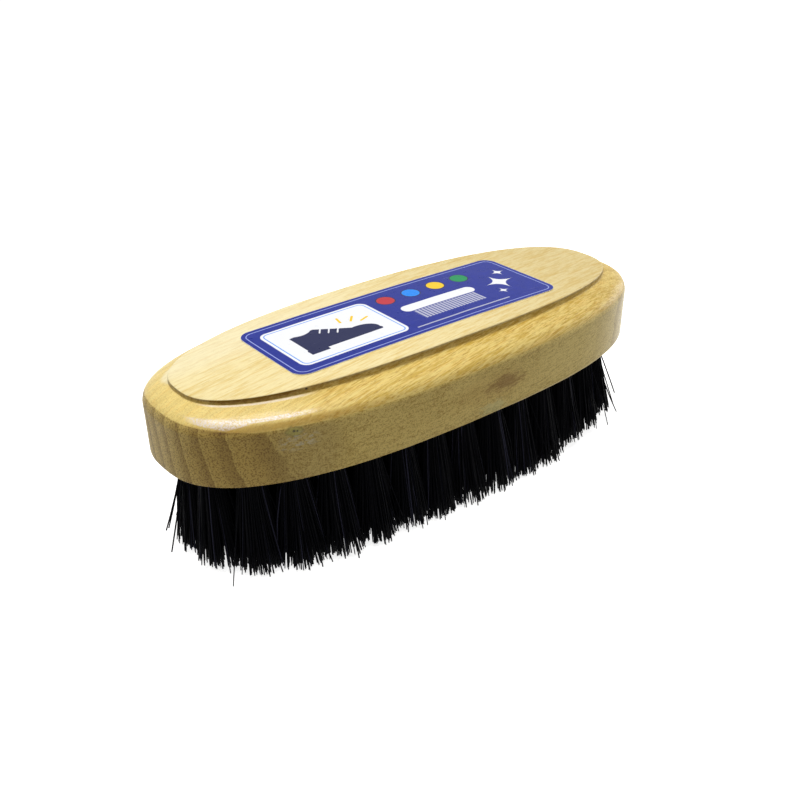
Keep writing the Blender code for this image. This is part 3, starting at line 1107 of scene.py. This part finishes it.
class SHOEBRUSH_OT_label(bpy.types.Operator):
    """Stick the printed label on the plateau"""

    bl_idname = "shoebrush.label"
    bl_label = "Label"

    def execute(self, context):
        settings = context.scene.brush_label
        block = bpy.data.objects.get("block")
        if block is None:
            raise RuntimeError("make the block first: the label is stuck on it")
        label = self.cut(settings)
        self.lay(label, block, settings)
        printed = label_material(settings)
        label.data.materials.append(printed)
        label.data.materials.append(paper_material(settings))
        for face in label.data.polygons:
            face.material_index = 0 if face.normal.z > 0.5 else 1
        settle(label, printed, "label", "label")
        return {"FINISHED"}

    def cut(self, settings):
        """A sheet with round corners, cut into small squares so that it can bend."""
        deselect_all()
        level = block_high.z + 2.0 * MM
        bpy.ops.mesh.primitive_plane_add(size=1.0, location=(0.0, 0.0, level))
        label = named("label_sticker")
        label.scale = (label_length, label_width, 1.0)
        bpy.ops.object.transform_apply(location=False, rotation=False, scale=True)
        edit_all()
        bpy.ops.mesh.bevel(offset=settings.corner, offset_type="OFFSET", segments=9, affect="VERTICES")
        for reach, normal in ((label_length, (1.0, 0.0, 0.0)), (label_width, (0.0, 1.0, 0.0))):
            cuts = int(reach / (SQUARE * MM))
            for i in range(1, cuts):
                spot = reach * (i / cuts - 0.5)
                bpy.ops.mesh.select_all(action="SELECT")
                bpy.ops.mesh.bisect(plane_co=(normal[0] * spot, normal[1] * spot, level), plane_no=normal)
        bpy.ops.object.mode_set(mode="OBJECT")
        label.rotation_euler.z = settings.turn
        label.location = (label_middle.x, label_middle.y, label.location.z)
        bpy.ops.object.transform_apply()
        return label

    def lay(self, label, block, settings):
        """Press the sheet on the wood, leave its creases and lifted corners, and give it thickness."""
        modify(
            label, "SHRINKWRAP", target=block, wrap_method="PROJECT", use_project_z=True,
            use_negative_direction=True, use_positive_direction=False, wrap_mode="ABOVE_SURFACE",
            offset=PRESS_GAP * MM)
        half = Vector((label_length, label_width)) / 2
        for vert in label.data.vertices:
            x, y = vert.co.x - label_middle.x, vert.co.y - label_middle.y
            corner = max(abs(x) / half.x + abs(y) / half.y - LIFT_START, 0.0)
            vert.co.z += CORNER_LIFT * MM * corner ** 2
            vert.co.z += label_relief(x / MM, y / MM) * MM
        modify(label, "SOLIDIFY", thickness=settings.thickness, offset=1.0)
        bpy.ops.object.shade_smooth_by_angle(angle=SMOOTH_ANGLE)


def label_relief(x, y):
    """How far the label stands off the wood at a place, in millimetres: a crease and small blisters."""
    along, aside = x + 38.4, y - 10.7
    crease = 0.10 * math.exp(-((aside + along * 0.16) / 0.5) ** 2 - (along / 4.2) ** 2)
    blisters = 0.0
    for middle, size, height in BLISTERS:
        reach = math.dist((x, y), middle) / size
        blisters += height * math.exp(-reach * reach)
    return crease + blisters


def root_sum(across, up):
    """How long a way is that goes so far across and up."""
    return (across * across + up * up) ** 0.5


class LabelPrint:
    """Shapes printed on the label: how far, in millimetres, a place is outside each one's outline."""

    def __init__(self, maker, place, ground):
        self.x, self.y = maker.split(place)[:2]
        self.paint = Paint(maker, ground)

    def disc(self, x, y, radius):
        return root_sum(self.x - x, self.y - y) - radius

    def oval(self, x, y, wide, high):
        return (root_sum((self.x - x) / wide, (self.y - y) / high) - 1.0) * min(wide, high)

    def box(self, x, y, wide, high, corner=0.0):
        """A rectangle with half sizes wide and high and round corners."""
        over_x = (abs(self.x - x) - (wide - corner)).at_least(0.0)
        over_y = (abs(self.y - y) - (high - corner)).at_least(0.0)
        return root_sum(over_x, over_y) - max(corner, 0.001)

    def below(self, x0, y0, x1, y1):
        """The side of a line that lies at the right of the way from its first point to its second."""
        length = math.hypot(x1 - x0, y1 - y0)
        return (self.y - y0) * ((x1 - x0) / length) - (self.x - x0) * ((y1 - y0) / length)

    def stroke(self, x0, y0, x1, y1, half_width):
        """A line with round ends."""
        run_x, run_y = x1 - x0, y1 - y0
        length = run_x * run_x + run_y * run_y
        share = (((self.x - x0) * run_x + (self.y - y0) * run_y) / length).limited()
        return root_sum(self.x - x0 - share * run_x, self.y - y0 - share * run_y) - half_width

    def sparkle(self, x, y, size):
        """A star with four thin points."""
        across = abs(self.x - x) / size
        up = abs(self.y - y) / size
        return ((across ** 0.5 + up ** 0.5) - 1.0) * (size * 0.35)

    def ink(self, distance, soft=0.07):
        """1 inside a shape, 0 outside it."""
        return (0.5 - distance / (2.0 * soft)).limited()

    def fill(self, shape, color):
        """Print a shape in a colour."""
        self.paint.cover(self.ink(shape), color)


def shoe_shape(shapes, x, y):
    """A laced shoe seen from its side, its toe at the right."""
    sole = shapes.box(x, y - 5.2, 11.4, 0.75, 0.7)
    heel = shapes.box(x - 8.6, y - 6.2, 2.7, 0.9, 0.2)
    toe = shapes.oval(x + 6.0, y - 3.9, 5.2, 3.3).at_least((y - 4.6) - shapes.y)
    back = (x - 11.0) - shapes.x
    top = shapes.below(x - 11.0, y + 4.0, x - 3.4, y + 4.9)
    vamp = shapes.below(x - 3.4, y + 4.9, x + 5.6, y - 1.1)
    upper = back.at_least(top).at_least(vamp).at_least((y - 4.6) - shapes.y).at_least(shapes.x - (x + 6.0))
    collar = shapes.oval(x - 7.3, y + 5.6, 3.3, 1.9)
    upper = upper.at_least(-collar)
    shoe = sole.at_most(heel).at_most(toe).at_most(upper)
    for i in range(3):
        lace_x, lace_y = x - 2.2 + i * 1.9, y + 3.3 - i * 1.27
        lace = shapes.stroke(lace_x - 1.0, lace_y - 1.3, lace_x + 0.4, lace_y + 0.55, 0.2)
        shoe = shoe.at_least(-lace)
    return shoe


def brush_shape(shapes, x, y):
    """A hand brush seen from its side: a rounded back and a row of bristles."""
    back = shapes.box(x, y + 2.4, 12.5, 1.9, 1.9)
    field = shapes.box(x, y - 2.6, 10.6, 2.7)
    comb = abs((shapes.x / 1.06).fraction() - 0.5) * 1.06 - 0.33
    return back.at_most(field.at_least(comb))


def label_material(settings):
    """Glossy printed paper: blue ground, a white panel with a shoe, a brush, four dots and thin rules."""
    maker = MaterialMaker("printed label")
    place = maker.place()
    middle = label_middle / MM
    turned = maker.mapped(place, (middle.x, middle.y, 0.0), (0.0, 0.0, settings.turn))
    mottle = maker.noise(place, (2.2, 2.2, 2.2))
    fibre = maker.noise(place, (0.35, 0.22, 0.3))
    ground = maker.mixed((mottle * 1.6 + 0.3).limited(), settings.ground, DEEP_GROUND)
    shapes = LabelPrint(maker, turned, ground)
    edge = shapes.box(0.0, 0.0, label_length / 2 / MM, label_width / 2 / MM, settings.corner / MM)
    shapes.fill(abs(edge + 1.35) - 0.13, RIM_LINE)

    panel = shapes.box(-22.6, 0.0, 16.4, 11.0, 2.4)
    shapes.fill(panel, settings.paper)
    shapes.fill(abs(panel + 0.9) - 0.14, settings.sky)
    shapes.fill(shoe_shape(shapes, -22.6, 0.2), SHOE_INK)
    for ray in RAYS:
        shapes.fill(shapes.stroke(*ray, 0.34), settings.yellow)

    shapes.fill(brush_shape(shapes, 11.5, -2.6), settings.paper)
    for ink, along in DOTS.items():
        dot = shapes.disc(along, DOT_LEVEL, DOT_RADIUS)
        shapes.fill(dot - 0.3, DOT_RIM)
        shapes.fill(dot, getattr(settings, ink))
    for star in STARS:
        shapes.fill(shapes.sparkle(*star), settings.paper)
    shapes.fill(shapes.box(11.5, -11.2, 16.0, 0.22), settings.paper)

    bare = 1.0 - shapes.ink(edge + 0.05 + mottle * 0.08)
    shapes.paint.cover(bare, settings.paper)
    rub = maker.noise(place, (5.0, 0.5, 1.0), 3.0).rising(0.16, 0.28)
    shapes.paint.cover(rub * 0.12, RUBBED_INK)
    return maker.finish(
        {
            "Base Color": shapes.paint.color,
            "Roughness": 0.30 + mottle * 0.16 + bare * 0.3,
            "Normal": maker.bump(fibre, 0.012 * MM, 0.5),
            "Specular IOR Level": 0.08,
        },
        settings.ground)


def paper_material(settings):
    """The label's bare paper, at its cut edge and its back."""
    maker = MaterialMaker("label paper")
    fibre = maker.noise(maker.place(), (0.5, 0.2, 0.3), 3.0)
    color = maker.mixed(fibre + 0.5, settings.paper, (0.70, 0.68, 0.60))
    return maker.finish(
        {"Base Color": color, "Roughness": 0.7 + fibre * 0.2, "Normal": maker.bump(fibre, 0.02 * MM)},
        settings.paper)


class SHOEBRUSH_OT_stage(bpy.types.Operator):
    """Set up the floor, the lamps and the camera"""

    bl_idname = "shoebrush.stage"
    bl_label = "Studio"

    def execute(self, context):
        settings = context.scene.brush_stage
        context.scene.view_settings.view_transform = "Standard"
        self.floor()
        for name, (place, aim, size, power) in LAMPS.items():
            self.lamp(name, place, aim, size, getattr(settings, power))
        self.room(context.scene, settings)
        self.camera(context.scene, settings)
        return {"FINISHED"}

    def floor(self):
        """A white floor at the bristles' tips that keeps the brush's shadow."""
        deselect_all()
        bpy.ops.mesh.primitive_plane_add(size=6.0, location=(0.0, 0.0, cad_bounds[0].z - 0.05 * MM))
        floor = named("floor")
        bpy.ops.object.transform_apply()
        maker = MaterialMaker("studio floor")
        bounce = maker.node("ShaderNodeBsdfDiffuse", None, {"Color": opaque((0.50,) * 3)})
        lit = maker.node("ShaderNodeBsdfDiffuse", None, {"Color": opaque((0.85,) * 3)})
        glow = maker.node("ShaderNodeEmission", None, {"Color": opaque((1.0,) * 3), "Strength": 0.82})
        white = maker.node("ShaderNodeAddShader", None, {0: lit, 1: glow})
        above = maker.node("ShaderNodeMixShader", None, {0: seen_directly(maker), 1: bounce, 2: white})
        clear = maker.node("ShaderNodeBsdfTransparent")
        under = maker.node("ShaderNodeNewGeometry", output="Backfacing")
        maker.show(maker.node("ShaderNodeMixShader", None, {0: under, 1: above, 2: clear}))
        floor.data.materials.append(maker.material)

    def lamp(self, name, place, aim, size, power):
        """A square soft lamp that points at a place."""
        light = bpy.data.lights.new(name, "AREA")
        light.size = size
        light.energy = power
        lamp = new_object(name, light)
        lamp.location = place
        lamp.rotation_euler = (Vector(place) - Vector(aim)).to_track_quat("Z", "Y").to_euler()

    def room(self, scene, settings):
        """A white backdrop that lights the brush only a little."""
        world = bpy.data.worlds.new("studio")
        world.use_nodes = True
        maker = NodeMaker(world.node_tree, "ShaderNodeOutputWorld")
        backdrop = maker.node("ShaderNodeBackground", None, {"Color": opaque((1.0,) * 3), "Strength": 1.0})
        soft = {"Color": opaque((1.0, 0.98, 0.95)), "Strength": settings.room_light}
        dim = maker.node("ShaderNodeBackground", None, soft)
        maker.show(maker.node("ShaderNodeMixShader", None, {0: seen_directly(maker), 1: dim, 2: backdrop}))
        scene.world = world

    def camera(self, scene, settings):
        """The camera at the photograph's viewing angle."""
        azimuth, elevation, roll = settings.azimuth, settings.elevation, settings.roll
        level_back = math.cos(elevation)
        back = Vector((math.sin(azimuth) * level_back, -math.cos(azimuth) * level_back, math.sin(elevation)))
        right = Vector((math.cos(azimuth), math.sin(azimuth), 0.0))
        up = back.cross(right)
        place = Vector((0.0, 0.0, underside + AIM_LEVEL * MM)) + right * AIM_RIGHT * MM + up * AIM_UP * MM
        place += back * settings.distance
        across = right * math.cos(roll) - up * math.sin(roll)
        upward = right * math.sin(roll) + up * math.cos(roll)
        data = bpy.data.cameras.new("camera")
        data.lens = settings.lens
        data.clip_start = 10.0 * MM
        data.clip_end = 20.0
        camera = new_object("camera", data)
        axes = Matrix((across, upward, back)).transposed()
        camera.matrix_world = Matrix.Translation(place) @ axes.to_4x4()
        scene.camera = camera


def seen_directly(maker):
    """1 for what the camera sees, also in gloss and through glass."""
    camera = maker.node("ShaderNodeLightPath", output="Is Camera Ray")
    glossy = maker.node("ShaderNodeLightPath", output="Is Glossy Ray")
    through = maker.node("ShaderNodeLightPath", output="Is Transmission Ray")
    return camera.at_least(glossy).at_least(through)


class SHOEBRUSH_PT_panel(bpy.types.Panel):
    """The shoe brush's pieces and sizes"""

    bl_idname = "SHOEBRUSH_PT_panel"
    bl_label = "Shoe brush"
    bl_space_type = "VIEW_3D"
    bl_region_type = "UI"
    bl_category = "Shoe brush"

    def draw(self, context):
        layout = self.layout
        for owner, (_, label) in SETTINGS.items():
            box = layout.box()
            box.label(text=label)
            settings = getattr(context.scene, owner)
            for name in settings.__annotations__:
                box.prop(settings, name)
        layout.operator("shoebrush.block")
        layout.operator("shoebrush.anchors")
        for row in ROW_SEEDS:
            layout.operator("shoebrush.tufts", text="Tufts, " + row + " row").row = row
        layout.operator("shoebrush.label")
        layout.operator("shoebrush.stage")


SETTINGS = {
    "brush_block": (BlockSettings, "Block"),
    "brush_wood": (WoodColors, "Wood"),
    "brush_bristles": (BristleSettings, "Bristles"),
    "brush_label": (LabelSettings, "Label"),
    "brush_stage": (StageSettings, "Studio"),
}

CLASSES = (
    *(group for group, _ in SETTINGS.values()),
    SHOEBRUSH_OT_block,
    SHOEBRUSH_OT_tufts,
    SHOEBRUSH_OT_anchors,
    SHOEBRUSH_OT_label,
    SHOEBRUSH_OT_stage,
    SHOEBRUSH_PT_panel,
)


def register():
    """Make the classes known, and hang their settings on the scene."""
    for made in CLASSES:
        bpy.utils.register_class(made)
    for owner, (group, label) in SETTINGS.items():
        setattr(bpy.types.Scene, owner, bpy.props.PointerProperty(name=label, type=group))


def unregister():
    """Take the settings and the classes away again."""
    for owner in SETTINGS:
        delattr(bpy.types.Scene, owner)
    for made in reversed(CLASSES):
        bpy.utils.unregister_class(made)


def main():
    """Make the whole brush and its studio."""
    register()
    bpy.ops.shoebrush.block()
    bpy.ops.shoebrush.anchors()
    for row in ROW_SEEDS:
        bpy.ops.shoebrush.tufts(row=row)
    bpy.ops.shoebrush.label()
    bpy.ops.shoebrush.stage()


if __name__ == "__main__":
    main()
